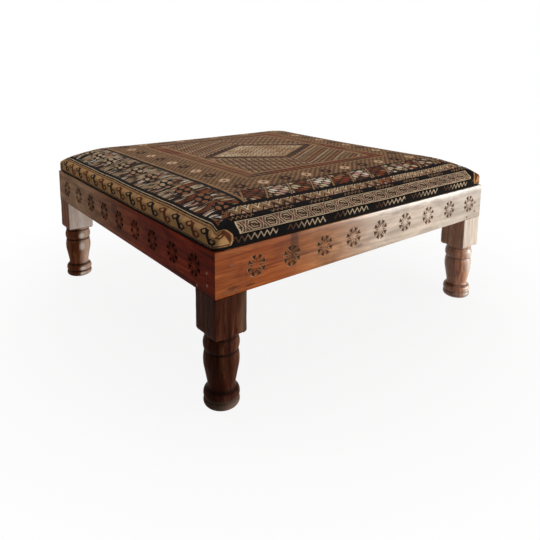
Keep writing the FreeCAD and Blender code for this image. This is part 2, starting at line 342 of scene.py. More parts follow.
studio = {
    "worldLight": 0.045,
    "floorSize": 14.0,
    "floorColour": (0.6, 0.58, 0.56),
    "whiteNear": 0.9,        # the shadow stays near the feet
    "whitens": (0.5, 1.25),
    "lamps": (
        # place, target, width, height, power
        ((1.5, -2.7, 0.7), (-0.1, 0.0, 0.3), 1.4, 0.6, 23.0),
        ((2.1, -2.1, 0.13), (-0.1, -0.3, 0.26), 1.1, 0.22, 33.0),
        ((0.8, -2.7, 0.1), (-0.45, 0.42, 0.16), 0.9, 0.16, 13.0),
        ((1.0, 2.4, 2.4), (0.0, 0.0, 0.4), 2.4, 1.6, 44.0),
        ((0.0, -0.2, 3.2), (0.0, 0.0, 0.3), 2.2, 2.2, 45.0),
        ((-2.2, 1.7, 1.0), (-0.5, 0.3, 0.3), 0.8, 0.8, 7.0),
    ),
}


def seenDirectly(wire):
    # camera, mirror and see-through rays meet the white background
    camera, glossy, through = (wire.node("LightPath", out=f"Is {ray} Ray")
                               for ray in ("Camera", "Glossy", "Transmission"))
    return camera.most(glossy).most(through)


def makeStudio():
    world = bpy.data.worlds.new("studio")
    bpy.context.scene.world = world
    world.use_nodes = True
    tree = world.node_tree
    tree.nodes.clear()
    wire = Wire(tree)
    strength = seenDirectly(wire) * (1 - studio["worldLight"]) + studio["worldLight"]
    background = wire.node("Background", None, {"Color": (1, 1, 1, 1), "Strength": strength})
    wire.node("OutputWorld", None, {"Surface": background})

    deselectAll()
    bpy.ops.mesh.primitive_plane_add(size=studio["floorSize"])
    floor = added("studioFloor")
    material, wire = newMaterial("paleFloor")
    spot = objectCoords(wire)
    away = wire.node("VectorMath", {"operation": "LENGTH"}, {0: spot}, out=1)
    near = studio["whiteNear"]
    white = seenDirectly(wire) * (away.eased(*studio["whitens"]) * (1 - near) + near)
    matte = wire.node("BsdfDiffuse", None, {"Color": (*studio["floorColour"], 1)})
    glow = wire.node("Emission", None, {"Color": (1, 1, 1, 1), "Strength": 1.0})
    shown = wire.node("MixShader", None, {0: white, 1: matte, 2: glow})
    wire.node("OutputMaterial", None, {"Surface": shown})
    setMaterial(floor, material)

    for place, target, width, height, power in studio["lamps"]:
        aim = Vector(target) - Vector(place)
        bpy.ops.object.light_add(type="AREA", location=place)
        lamp = bpy.context.active_object
        lamp.rotation_euler = aim.to_track_quat("-Z", "Y").to_euler()
        lamp.data.shape = "RECTANGLE"
        lamp.data.size = width
        lamp.data.size_y = height
        lamp.data.energy = power


scene = bpy.context.scene
scene.view_settings.view_transform = "Standard"
makeCamera()
makeStudio()
print("camera and studio ready")


# carved rails

rosette = {
    "rim": 0.0262,           # radius of the carved circle
    "petals": 8,
    "chip": 0.0086,          # size of a rim chip, apex towards the middle
    "chipStretch": 1.35,
    "chipDepth": 0.0052,
    "groove": (0.002, 0.0102),    # half width and half length of a petal's slit
    "grooveMiddle": 0.0134,
    "grooveDepth": 0.0035,
    "proud": 0.0007,         # how far the cutters stand out of the wood
}


def chipCutter(corners, reach, depth, across, along):
    # a pyramid whose outline on the wood's face is the given polygon
    full = depth + rosette["proud"]
    bpy.ops.mesh.primitive_cone_add(vertices=corners, radius1=reach * full / depth, radius2=0, depth=full,
                                    location=(0, (depth - rosette["proud"]) / 2, 0),
                                    rotation=(-math.pi / 2, 0, 0), scale=(1, 1, 1))
    cutter = added("chip")
    selectWhere(cutter, "VERT", everyItem)
    bpy.ops.transform.resize(value=(across, 1, along), center_override=(0, 0, 0))
    setMode("OBJECT")
    return cutter


def makeRosetteCutter():
    deselectAll()
    chip = chipCutter(3, rosette["chip"], rosette["chipDepth"], 1.0, rosette["chipStretch"])
    chipMiddle = rosette["rim"] - rosette["chip"] * rosette["chipStretch"] / 2
    chip.data.transform(Matrix.Translation((0, 0, chipMiddle)))
    halfWidth, halfLength = rosette["groove"]
    groove = chipCutter(4, halfLength, rosette["grooveDepth"], halfWidth / halfLength, 1.0)
    groove.data.transform(Matrix.Translation((0, 0, rosette["grooveMiddle"])))
    step = 2 * math.pi / rosette["petals"]
    pieces = []
    for number in range(rosette["petals"]):
        pieces.append(copyOf(chip, "chip", Matrix.Rotation((number + 0.5) * step, 4, "Y")))
        pieces.append(copyOf(groove, "groove", Matrix.Rotation(number * step, 4, "Y")))
    for pattern in (chip, groove):
        discard(pattern)
    return joined("rosetteCutter", pieces)


rail = {
    "length": 1.0,
    "thickness": 0.022,
    "height": 0.103,
    "bottom": 0.267,
    "edge": 0.0022,
    "middle": 0.318,         # height of the rosettes' middles
    "cuts": (48, 5),
    "uneven": 0.0011,
    "waves": 0.09,
    "skin": 0.0005,
    "evenEnd": 0.01,
    "plainEnd": 0.03,
    "lean": 5,               # rosettes are a little off, in degrees and in height
    "rise": 0.0012,
    "nailHole": (0.00345, 0.0036),
    "leftNails": ((0.031, 0.009), (0.051, 0.009), (0.042, 0.067)),
    "rightNails": ((0.032, 0.022), (0.032, 0.05), (0.073, 0.009)),
    # rosettes along each rail from its left end, seen from outside
    "front": (0.107, 0.209, 0.313, 0.413, 0.516, 0.619, 0.725, 0.829, 0.934),
    "right": (0.084, 0.188, 0.292, 0.396, 0.5, 0.604, 0.708, 0.812, 0.916),
    "back": (0.086, 0.189, 0.293, 0.398, 0.501, 0.606, 0.709, 0.813, 0.915),
    "left": (0.08, 0.191, 0.299, 0.406, 0.513, 0.614, 0.714, 0.816, 0.915),
}


def railCutters(pattern, centres, seed):
    draw = random.Random(seed)
    half = rail["length"] / 2
    cutters = []
    for along in centres:
        lean = Matrix.Rotation(math.radians(draw.uniform(-rail["lean"], rail["lean"])), 4, "Y")
        level = rail["middle"] + draw.uniform(-rail["rise"], rail["rise"])
        shift = Vector((along - half, -half, level))
        cutters.append(copyOf(pattern, "carving", Matrix.Translation(shift) @ lean))
    radius, depth = rail["nailHole"]
    for side, nails in ((-1, rail["leftNails"]), (1, rail["rightNails"])):
        for fromCorner, height in nails:
            bpy.ops.mesh.primitive_cylinder_add(
                vertices=20, radius=radius, depth=depth, rotation=(math.pi / 2, 0, 0),
                location=(side * (half - fromCorner), -half, rail["bottom"] + height))
            cutters.append(added("nailHole"))
    return joined("railCutter", cutters)


def makeRail(name, quarters, centres, pattern):
    half = rail["length"] / 2
    board = makeBox(name, (0, -half + rail["thickness"] / 2, rail["bottom"] + rail["height"] / 2),
                    (rail["length"], rail["thickness"], rail["height"]))
    for side in (-1, 1):      # mitres
        selectWhere(board, "FACE", everyItem)
        bpy.ops.mesh.bisect(plane_co=(side * half, -half, 0), plane_no=(side, 1, 0),
                            use_fill=True, clear_outer=True)
    for axis, cuts in zip((0, 2), rail["cuts"]):
        subdivideAlong(board, axis, cuts)

    def isOuterLong(mesh, edge):
        middle = (edgeEnds(mesh, edge)[0] + edgeEnds(mesh, edge)[1]) / 2
        up = middle.z - rail["bottom"]
        atEdge = min(abs(up), abs(up - rail["height"])) < nearby
        return runsAlong(mesh, edge, 0) and abs(middle.y + half) < nearby and atEdge

    def onFace(co):
        return float(co.y + half < rail["skin"] and abs(co.x) < half - rail["evenEnd"])

    bevelEdges(board, isOuterLong, rail["edge"], 3)
    setMode("OBJECT")
    vertexGroup(board, "face", onFace)
    applyModifier(board, "DISPLACE", texture=unevenness(name + "Plane", rail["waves"]),
                  strength=rail["uneven"], mid_level=0.5, vertex_group="face",
                  texture_coords="LOCAL", direction="Y")
    cutWith(board, railCutters(pattern, centres, name))

    # how deep a point lies in the carving, for the painted light on the rims of the cuts and the painted
    # shade deep in the chips
    face = -half + rail["uneven"]
    deepest = rosette["chipDepth"]
    carve = board.data.attributes.new("carve", "FLOAT", "POINT")
    for vertex, item in zip(board.data.vertices, carve.data):
        depth = vertex.co.y - face
        isCarved = 0 < depth < deepest * 1.4 and abs(vertex.co.x) < half - rail["plainEnd"]
        item.value = min(depth / deepest, 1.0) if isCarved else 0.0
    board.data.transform(quarterTurn(quarters))
    recalcNormals(board)
    smoothByAngle(board, 22)
    return board


def woodMaterial(name, look):
    material, wire = newMaterial(name)
    spot = objectCoords(wire)
    length = spot.axis(look["axis"])
    height = spot.axis(2)

    def alongGrain(across, along):
        # places for noise that is drawn out along the grain
        scale = [across] * 3
        scale[look["axis"]] = along
        return spot.stretched(scale, look["place"])

    streak = alongGrain(look["across"], look["along"]).noise(1.0, 5.0, 0.62, 0.9)
    colour = streak.ramp(*look["grain"])
    pore = alongGrain(look["across"] * 5, look["along"] * 4).noise(1.0, 3.0, 0.7)
    colour = mixed(pore.eased(0.5, 0.72) * look["pores"], colour, look["poreAndShadeColour"])
    patch = spot.noise(look["patchScale"], 3.0, 0.6, 0.4)
    colour = mixed(patch.eased(0.48, 0.68) * look["patches"], colour, look["patchColour"])
    # painted light: the wood paler along one axis where the lamps light it or shine off it
    for axis, start, finish, share, dark, light in look.get("paintedLight", ()):
        tint = mixed(streak.eased(0.3, 0.7), dark, light)
        colour = mixed(spot.axis(axis).eased(start, finish) * share, colour, tint)
    for place, level, width, tall, share in look.get("knots", ()):
        away = ((length - place) / width) * ((length - place) / width)
        away = away + ((height - level) / tall) * ((height - level) / tall)
        ring = (away * 9.0 + streak * 3.0).fraction().eased(0.55, 0.9) * 0.35
        colour = mixed((1 - away.eased(0.15, 1.0)) * (ring + 0.65) * share, colour, look["knotColour"])
    if "mottle" in look:
        stain = alongGrain(19.0, 6.5).noise(1.0, 4.0, 0.66, 0.8)
        uneven = stain.ramp((0.3, (0.5, 0.44, 0.4)), (0.7, (1.42, 1.4, 1.36)))
        colour = mixed(look["mottle"], colour, uneven, "MULTIPLY")
    if look.get("carved"):
        cut = wire.node("Attribute", {"attribute_name": "carve"}, out="Fac")
        # painted light on the rims of the cuts, painted shade deeper in the chips
        colour = mixed(cut.eased(0.0, 0.06) * 0.75, colour, look["rimPaintedLight"])
        colour = mixed(cut.eased(0.08, 0.22) * 0.78, colour, look["chipPaintedShade"])
    # painted shade: the turned grooves darkened with the pore colour
    for level, tall, share in look.get("grooveShade", ()):
        colour = mixed((1 - abs(height - level).eased(0.0, tall)) * share, colour, look["poreAndShadeColour"])
    for low, high, share, tint in look.get("levels", ()):
        colour = mixed(height.eased(low, high) * share * patch.eased(0.3, 0.62), colour, tint)
    rough = streak * 0.18 + look["rough"]
    coat = look.get("coat", 0.0)
    if "worn" in look:        # the polish is worn off towards one end
        coat = length.eased(*look["worn"]) * coat
    finishMaterial(wire, colour, rough, pore * 0.6 + streak * 0.8, look["bump"], 0.0012,
                   Coat_Weight=coat, Coat_Roughness=0.3,
                   Specular_IOR_Level=look.get("specular", 0.3))
    return material


orangeGrain = ((0.32, (0.11, 0.02, 0.005)), (0.44, (0.25, 0.055, 0.011)), (0.56, (0.35, 0.088, 0.018)),
               (0.68, (0.48, 0.16, 0.04)))
redGrain = ((0.3, (0.06, 0.007, 0.0032)), (0.44, (0.155, 0.018, 0.008)), (0.56, (0.24, 0.034, 0.014)),
            (0.7, (0.36, 0.075, 0.032)))
brownGrain = ((0.3, (0.075, 0.024, 0.01)), (0.44, (0.18, 0.062, 0.026)), (0.56, (0.26, 0.1, 0.042)),
              (0.7, (0.36, 0.165, 0.075)))
# fades of painted light, sheen and reflection: axis, start, end, share, dark and light tint; knots: place,
# height, half sizes, share
railLook = {
    "axis": 0, "across": 50.0, "along": 3.0, "place": (0.3, 0.0, 0.0), "grain": orangeGrain,
    "pores": 0.36, "poreAndShadeColour": (0.07, 0.02, 0.009), "patchScale": 7.5, "patches": 0.5,
    "patchColour": (0.12, 0.026, 0.01), "knotColour": (0.028, 0.01, 0.006),
    "mottle": 0.8, "carved": True, "rimPaintedLight": (0.62, 0.36, 0.2), "chipPaintedShade": (0.02, 0.007, 0.005),
    "rough": 0.38, "bump": 0.3, "coat": 0.0, "specular": 0.09,
}
frontRailLook = dict(
    railLook, coat=0.65, worn=(-0.34, 0.06),
    # painted sheen: the rail turns paler and greyer towards its right end, where the lamps shine off it
    paintedLight=((0, -0.36, -0.14, 0.65, (0.3, 0.122, 0.042), (0.62, 0.325, 0.13)),
           (0, -0.2, 0.04, 0.85, (0.42, 0.335, 0.255), (0.6, 0.525, 0.435)),
           (0, 0.18, 0.36, 0.8, (0.3, 0.235, 0.178), (0.44, 0.375, 0.3))),
    knots=((-0.285, 0.345, 0.016, 0.07, 0.85), (-0.064, 0.292, 0.018, 0.007, 0.6),
           (0.075, 0.352, 0.022, 0.006, 0.4), (0.2, 0.36, 0.02, 0.005, 0.35),
           (0.02, 0.36, 0.016, 0.005, 0.35), (-0.455, 0.284, 0.02, 0.005, 0.7),
           (-0.41, 0.279, 0.016, 0.004, 0.7)))
leftRailLook = dict(
    railLook, axis=1, grain=redGrain, place=(0.0, 0.7, 0.2), specular=0.012, mottle=1.0,
    patchColour=(0.03, 0.005, 0.003), rimPaintedLight=(0.11, 0.035, 0.02), chipPaintedShade=(0.01, 0.003, 0.002),
    # painted light and reflection: the rail lighter and greyer towards its far end
    paintedLight=((1, -0.3, 0.06, 0.6, (0.15, 0.042, 0.018), (0.36, 0.13, 0.058)),
           (1, -0.08, 0.28, 0.8, (0.27, 0.15, 0.08), (0.5, 0.32, 0.195))),
    knots=((0.02, 0.345, 0.03, 0.02, 0.7), (-0.22, 0.3, 0.05, 0.012, 0.5)))
backRailLook = dict(
    railLook, grain=brownGrain, place=(1.9, 0.4, 0.0),
    knots=((-0.16, 0.34, 0.03, 0.01, 0.7), (0.31, 0.3, 0.022, 0.012, 0.7)))
rightRailLook = dict(
    railLook, axis=1, grain=brownGrain, place=(0.0, 2.6, 0.9),
    knots=((0.12, 0.3, 0.03, 0.01, 0.7),))

# piece, node, key of its rosettes and look, a quarter turn apart
rails = (
    ("frontRail", "front_rail", "front", frontRailLook),
    ("rightRail", "right_rail", "right", rightRailLook),
    ("backRail", "back_rail", "back", backRailLook),
    ("leftRail", "left_rail", "left", leftRailLook),
)
rosetteCutter = makeRosetteCutter()
for quarters, (name, node, key, look) in enumerate(rails):
    carved = makeRail(name, quarters, rail[key], rosetteCutter)
    setMaterial(carved, woodMaterial(name + "Wood", look))
    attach(carved, "root")
    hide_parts(node)
discard(rosetteCutter)
print("rails carved")


# turned legs

leg = {
    "middle": 0.459,
    "width": 0.082,
    "blockBottom": 0.171,
    "blockTop": 0.267,
    "postTop": 0.37,
    "railThickness": 0.022,
    "sides": 56,
    "edge": 0.0026,
    "shoulder": 0.008,
    "cuts": (9, 11),
    # turned foot: each line is radius and height, or both for an arc's middle and its end
    "profile": (
        ((0.034, 0.0),), ((0.041, 0.009), (0.038, 0.018)), ((0.041, 0.028), (0.0385, 0.037)),
        ((0.0332, 0.043), (0.0313, 0.051)), ((0.0382, 0.088),), ((0.0406, 0.113), (0.0375, 0.132)),
        ((0.041, 0.147), (0.0375, 0.162)), ((0.0375, 0.176),),
    ),
    "uneven": 0.0016,
    "waves": 0.03,
    "evenEnd": 0.002,
    "overlap": 0.004,        # of the post and the block
    "crack": (0.0009, 0.007),
    "crackLean": 2.5,
    "crackMiddle": 0.0018,
    # cracks on the block: face, place across, height, length
    "cracks": (
        ((0, -0.018, 0.196, 0.05), (0, 0.012, 0.186, 0.03),
         (3, 0.01, 0.205, 0.062), (3, -0.022, 0.189, 0.034)),
        ((0, 0.016, 0.205, 0.04), (3, -0.01, 0.2, 0.052), (1, 0.004, 0.192, 0.04)),
        ((0, -0.006, 0.21, 0.06), (3, 0.018, 0.19, 0.036), (0, 0.022, 0.188, 0.026)),
        ((0, 0.008, 0.19, 0.036), (1, -0.014, 0.191, 0.04),
         (3, 0.004, 0.2, 0.048), (0, -0.024, 0.188, 0.03)),
    ),
}


def arcThrough(first, middle, last, steps):
    # points on the circle through three places, without the first
    start, via, end = (complex(*place) for place in (first, middle, last))
    share = (end - start) / (via - start)
    centre = start + (via - start) * (share - abs(share) ** 2) / (2j * share.imag)
    sweep = cmath.phase((end - centre) / (start - centre))
    turned = [centre + (start - centre) * cmath.rect(1, sweep * step / steps) for step in range(1, steps + 1)]
    return [(point.real, point.imag) for point in turned]


def turnedOutline():
    points = [leg["profile"][0][0]]
    for step in leg["profile"][1:]:
        if len(step) == 1:
            points.append(step[0])
        else:
            points.extend(arcThrough(points[-1], step[0], step[1], 9))
    return points


def makeTurning():
    outline = turnedOutline()
    radius, level = outline[0]
    middle = (-leg["middle"], -leg["middle"])
    deselectAll()
    bpy.ops.mesh.primitive_circle_add(vertices=leg["sides"], radius=radius, fill_type="NGON",
                                      location=(*middle, level))
    turning = added("turning")
    setMode("EDIT")
    bpy.ops.mesh.select_all(action="SELECT")
    for nextRadius, nextLevel in outline[1:]:
        bpy.ops.mesh.extrude_region_move(TRANSFORM_OT_translate={"value": (0, 0, nextLevel - level)})
        share = nextRadius / radius
        bpy.ops.transform.resize(value=(share, share, 1), center_override=(*middle, nextLevel))
        radius, level = nextRadius, nextLevel
    setMode("OBJECT")
    recalcNormals(turning)
    return turning


def makeBlock():
    bottom = leg["blockBottom"]
    tall = leg["blockTop"] - bottom
    block = makeBox("block", (-leg["middle"], -leg["middle"], bottom + tall / 2),
                    (leg["width"], leg["width"], tall))
    bevelEdges(block, lambda mesh, edge: runsAlong(mesh, edge, 2), leg["edge"], 2)
    bevelEdges(block, lambda mesh, edge: max(co.z for co in edgeEnds(mesh, edge)) < bottom + nearby,
               leg["shoulder"], 3)
    acrossCuts, alongCuts = leg["cuts"]
    subdivideAlong(block, 2, alongCuts)
    for axis in (0, 1):
        subdivideAlong(block, axis, acrossCuts, leg["width"] / 2)
    setMode("OBJECT")
    return block


def makePost():
    wide = leg["width"] - leg["railThickness"]
    centre = -leg["middle"] + leg["railThickness"] / 2
    tall = leg["postTop"] - leg["blockTop"] + leg["overlap"]
    return makeBox("post", (centre, centre, leg["postTop"] - tall / 2), (wide, wide, tall))


def crackCutters(cracks):
    pieces = []
    for face, across, level, length in cracks:
        bpy.ops.mesh.primitive_cone_add(vertices=4, radius1=1, radius2=0, depth=1,
                                        rotation=(-math.pi / 2, 0, 0))
        crack = added("crack")
        crack.data.transform(Matrix.Diagonal((*leg["crack"], length / 2, 1)))
        crack.data.transform(Matrix.Rotation(math.radians(math.copysign(leg["crackLean"], across)), 4, "Y"))
        crack.data.transform(Matrix.Translation((across, leg["crackMiddle"] - leg["width"] / 2, level)))
        crack.data.transform(quarterTurn(face))
        crack.data.transform(Matrix.Translation((-leg["middle"], -leg["middle"], 0)))
        pieces.append(crack)
    return joined("crackCutter", pieces)


def makeLeg(name, quarters, turning, cracks):
    low, high = leg["blockBottom"] + leg["evenEnd"], leg["blockTop"] - leg["evenEnd"]
    block = makeBlock()
    vertexGroup(block, "sides", lambda co: float(low < co.z < high))
    applyModifier(block, "DISPLACE", texture=unevenness(name + "Hewn", leg["waves"]),
                  strength=leg["uneven"], mid_level=0.6, vertex_group="sides", texture_coords="LOCAL")
    cutWith(block, makePost(), "UNION")
    cutWith(block, copyOf(turning, "turning"), "UNION")
    cutWith(block, crackCutters(cracks))
    named(block, name)
    block.data.transform(quarterTurn(quarters))
    recalcNormals(block)
    smoothByAngle(block, 32)
    return block


# grooves of painted shade in the turned hollows: height, half height, share; levels: from and to, share, tint
legLook = {
    "axis": 2, "across": 60.0, "along": 4.0, "place": (0.0, 0.0, 0.6),
    "grain": ((0.3, (0.014, 0.004, 0.002)), (0.44, (0.043, 0.012, 0.006)), (0.56, (0.078, 0.023, 0.011)),
              (0.7, (0.15, 0.056, 0.027))),
    "pores": 0.6, "poreAndShadeColour": (0.01, 0.004, 0.003), "patchScale": 13.0, "patches": 0.6,
    "patchColour": (0.06, 0.012, 0.006), "rough": 0.42, "bump": 0.5, "specular": 0.02,
    "grooveShade": ((0.018, 0.005, 0.9), (0.041, 0.007, 0.85), (0.132, 0.006, 0.9), (0.165, 0.005, 0.8)),
    "levels": ((0.034, 0.0, 0.85, (0.27, 0.19, 0.145)),),
    # painted light: the near leg paler on its right side, where the lamps light it
    "paintedLight": ((0, -0.447, -0.42, 0.6, (0.075, 0.038, 0.024), (0.26, 0.16, 0.105)),),
}
legLooks = (
    legLook,
    dict(legLook, place=(0.5, 0.0, 0.2), patchColour=(0.2, 0.06, 0.03), patches=0.4,
         grooveShade=((0.041, 0.006, 0.6), (0.132, 0.005, 0.6), (0.165, 0.005, 0.6)),
         grain=((0.3, (0.17, 0.052, 0.026)), (0.44, (0.38, 0.14, 0.07)), (0.56, (0.54, 0.25, 0.135)),
                (0.7, (0.7, 0.42, 0.26))),
         # painted light and sheen: the right side and the front face paler, where the lamps light and shine
         # on them
         coat=0.7, paintedLight=((0, 0.44, 0.474, 0.7, (0.36, 0.19, 0.11), (0.66, 0.45, 0.31)),
                          (1, -0.494, -0.5, 0.9, (0.5, 0.4, 0.31), (0.76, 0.68, 0.58)))),
    dict(legLook, place=(1.5, 0.3, 0.1), grain=brownGrain, paintedLight=()),
    dict(legLook, place=(0.2, 1.1, 0.4), patchColour=(0.11, 0.03, 0.014),
         grain=((0.3, (0.065, 0.017, 0.007)), (0.44, (0.17, 0.05, 0.02)), (0.56, (0.25, 0.09, 0.038)),
                (0.7, (0.38, 0.185, 0.095))),
         # painted light: the right side and the front face paler, where light reaches them from the front
         paintedLight=((0, -0.474, -0.444, 0.85, (0.56, 0.33, 0.22), (0.9, 0.68, 0.54)),
                (1, 0.4205, 0.418, 0.95, (0.82, 0.65, 0.55), (0.96, 0.87, 0.8)))),
)

legs = (("legFrontLeft", "leg_front_left"), ("legFrontRight", "leg_front_right"),
        ("legBackRight", "leg_back_right"), ("legBackLeft", "leg_back_left"))
turning = makeTurning()
for quarters, (name, node) in enumerate(legs):
    turned = makeLeg(name, quarters, turning, leg["cracks"][quarters])
    setMaterial(turned, woodMaterial(name + "Wood", legLooks[quarters]))
    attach(turned, "root")
    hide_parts(node)
discard(turning)
print("legs turned")


# padded seat

seat = {
    "half": 0.5,
    "railTop": 0.37,
    "edgeInset": 0.0005,
    "tuckInset": 0.004,
    "tuckHeight": 0.004,
    "wall": 0.025,
    "round": 0.04,
    "roundAngle": 72.0,
    "crown": 0.024,
    "crownPower": 5,
    "crownFlat": 0.09,
    "corner": 0.018,
    "shoulder": 0.07,
    "hem": 0.05,
    "boardTop": 0.015,       # over the rails
    "kilim": 0.003,
    "wadding": 0.008,
    "knee": 0.44,            # where the cloth starts to be drawn round a corner
    "steps": (24, 18, 4),    # cloth squares on the top, over the edge and in the hem
    "slack": 0.005,          # the cloth starts this much lower and is blown up
    "frames": 20,
    "heldEdge": 0.012,       # how far over the wall's top the cloth is held
    "padGap": 0.0005,
    "padTuck": 0.004,
    "padEase": 0.04,
    "turnStart": 0.02,
    "cap": 0.007,            # furthest the blown-up cloth may move
}
wallRow, arcSteps, crownSteps = 4, 40, 80       # rows of the profile


def seatProfile():
    # inset, height over the rails and plan corner radius, from the hem's end to the middle
    arcEnd = math.radians(seat["roundAngle"])
    rows = [(seat["hem"], 0.0, seat["corner"]), (seat["tuckInset"], 0.0, seat["corner"]),
            (seat["edgeInset"] + 0.001, seat["tuckHeight"] * 0.4, seat["corner"]),
            (seat["edgeInset"], seat["tuckHeight"], seat["corner"])]
    for step in range(arcSteps + 1):
        angle = arcEnd * step / arcSteps
        inward = 1 - math.cos(angle)
        rows.append((seat["edgeInset"] + seat["round"] * inward,
                     seat["wall"] + seat["round"] * math.sin(angle),
                     seat["corner"] + (seat["shoulder"] - seat["corner"]) * inward))
    startInset, startHeight, startRadius = rows[-1]
    span = seat["half"] - startInset - seat["crownFlat"]
    for step in range(1, crownSteps + 1):
        share = step / crownSteps
        radius = seat["shoulder"] - (seat["shoulder"] - seat["crownFlat"] / 2) * share
        radius = startRadius + (radius - startRadius) * min(share / 0.1, 1)
        rise = seat["crown"] * (1 - (1 - share) ** seat["crownPower"])
        rows.append((startInset + span * share, startHeight + rise, radius))
    rows.append((seat["half"], rows[-1][1], 0.02))
    return np.array(rows)


profile = seatProfile()
profileRun = np.concatenate(([0.0], np.cumsum(np.hypot(np.diff(profile[:, 0]), np.diff(profile[:, 1])))))
clothHalf = profileRun[-1]                               # middle to the hem's end, along the cloth
hemLine = clothHalf - profileRun[1]                      # where the cloth turns under
wallTop = clothHalf - profileRun[wallRow]                # top of the upright edge
arcTop = clothHalf - profileRun[wallRow + arcSteps]      # where the crown begins


def reachAt(cloth):
    return seat["half"] - np.interp(clothHalf - cloth, profileRun, profile[:, 0])


def heightAt(cloth):
    return np.interp(clothHalf - cloth, profileRun, profile[:, 1])


def levelHeight(x, y):
    # height of the crown over a place, from level lines that are rounded squares
    rows = profile[wallRow:]
    low = np.full(x.shape, rows[0, 0])
    high = np.full(x.shape, rows[-1, 0])
    for _ in range(40):
        middle = (low + high) / 2
        radius = np.minimum(np.interp(middle, rows[:, 0], rows[:, 2]), seat["half"] - middle)
        reach = seat["half"] - middle - radius
        pastX = np.abs(x) - reach
        pastY = np.abs(y) - reach
        outside = np.hypot(np.maximum(pastX, 0), np.maximum(pastY, 0))
        outside = outside + np.minimum(np.maximum(pastX, pastY), 0) - radius
        low = np.where(outside > 0, low, middle)
        high = np.where(outside > 0, middle, high)
    return np.interp((low + high) / 2, rows[:, 0], rows[:, 1])


def alongPlan(level, other):
    # where a point stands along its side, drawn together near the corners below the crown
    reach = reachAt(level)
    knee = seat["knee"]
    kneeReach = reachAt(knee)
    drawn = kneeReach + (other - knee) / np.maximum(level - knee, tiny) * (reach - kneeReach)
    free = reachAt(other)
    return np.where((level > arcTop) & (other > knee), drawn, np.minimum(free, reach))


def seatPoints(u, v):
    # flat cloth places to places on the seat
    sideways, endways = np.abs(u), np.abs(v)
    level, other = np.maximum(sideways, endways), np.minimum(sideways, endways)
    out = reachAt(level)
    along = alongPlan(level, other)
    radius = seat["corner"] * np.clip((level - arcTop) / (wallTop - arcTop), 0, 1)
    start = out - radius
    turn = np.clip((along - start) / np.maximum(radius, tiny), 0, 1) * math.pi / 4
    isRound = (along > start) & (radius > tiny)
    outPlace = np.where(isRound, start + radius * np.cos(turn), out)
    alongPlace = np.where(isRound, start + radius * np.sin(turn), along)
    swap = endways > sideways
    x = np.where(swap, alongPlace, outPlace) * np.sign(u)
    y = np.where(swap, outPlace, alongPlace) * np.sign(v)
    z = np.where(level > wallTop, heightAt(level), levelHeight(x, y))
    return x, y, z


def gridLines():
    top, edge, hemSteps = seat["steps"]
    turn = arcTop - seat["turnStart"]
    lines = [turn * step / top for step in range(top)]
    lines += [turn + (hemLine - turn) * step / edge for step in range(edge)]
    lines += [hemLine + (clothHalf - hemLine) * step / hemSteps for step in range(hemSteps + 1)]
    lines = np.array(lines)
    return np.concatenate((-lines[:0:-1], lines))


def pointsOf(obj):
    flat = np.empty(len(obj.data.vertices) * 3)
    obj.data.vertices.foreach_get("co", flat)
    return flat.reshape(-1, 3)


def makeSheet(name, lines):
    # a flat square of cloth with its threads at the given lines
    cells = len(lines) - 1
    deselectAll()
    bpy.ops.mesh.primitive_grid_add(x_subdivisions=cells, y_subdivisions=cells, size=2 * clothHalf)
    sheet = added(name)
    threads = np.rint((pointsOf(sheet) / (2 * clothHalf) + 0.5) * cells).astype(int)
    return sheet, lines[threads[:, 0]], lines[threads[:, 1]]


def movePoints(obj, points):
    obj.data.vertices.foreach_set("co", np.asarray(points, dtype=float).ravel())
    obj.data.update()


def rugMap(sheet, u, v):
    # the rug's own measure on the cloth, from 0 to 1 over its whole width
    uv = sheet.data.uv_layers[0]
    uv.name = "rug"
    planEdge = np.linspace(0, arcTop, 400)
    planReach = reachAt(planEdge)
    for face in sheet.data.polygons:
        middleU = np.mean([u[index] for index in face.vertices])
        middleV = np.mean([v[index] for index in face.vertices])
        isSide = abs(middleU) > abs(middleV)
        for loop in face.loop_indices:
            index = sheet.data.loops[loop].vertex_index
            band, other = (u[index], v[index]) if isSide else (v[index], u[index])
            level = abs(band)
            if level > arcTop:
                plan = alongPlan(np.array([level]), np.array([min(abs(other), level)]))[0]
                free = plan - planReach[-1]
                measure = arcTop + free if free > 0 else np.interp(plan, planReach, planEdge)
                other = math.copysign(measure, other)
            pair = (band, other) if isSide else (other, band)
            uv.data[loop].uv = (pair[0] / (2 * clothHalf) + 0.5, pair[1] / (2 * clothHalf) + 0.5)


clothSettings = {
    "quality": 6, "mass": 0.4, "tension_stiffness": 20, "compression_stiffness": 20, "shear_stiffness": 8,
    "bending_stiffness": 2, "use_pressure": True, "uniform_pressure_force": 3.2, "vertex_group_mass": "held",
}


def blowUp(obj, held):
    # cloth pressure on the stretched cover, with its edge held
    before = pointsOf(obj)
    group = obj.vertex_groups.new(name="held")
    for index in np.nonzero(held)[0]:
        group.add([int(index)], 1.0, "REPLACE")
    makeActive(obj)
    modifier = obj.modifiers.new("cloth", "CLOTH")
    for key, value in clothSettings.items():
        setattr(modifier.settings, key, value)
    modifier.settings.effector_weights.gravity = 0
    modifier.collision_settings.use_collision = False
    modifier.point_cache.frame_start = 1
    modifier.point_cache.frame_end = seat["frames"]
    for number in range(1, seat["frames"] + 1):
        bpy.context.scene.frame_set(number)
    bpy.ops.object.modifier_apply(modifier="cloth")
    move = pointsOf(obj) - before
    far = np.linalg.norm(move, axis=1)
    move *= np.minimum(1, seat["cap"] / np.maximum(far, tiny))[:, None]
    movePoints(obj, before + move)
    bpy.context.scene.frame_set(1)
    print(f"cover blown up, furthest {far.max() * 1000:.1f} mm")


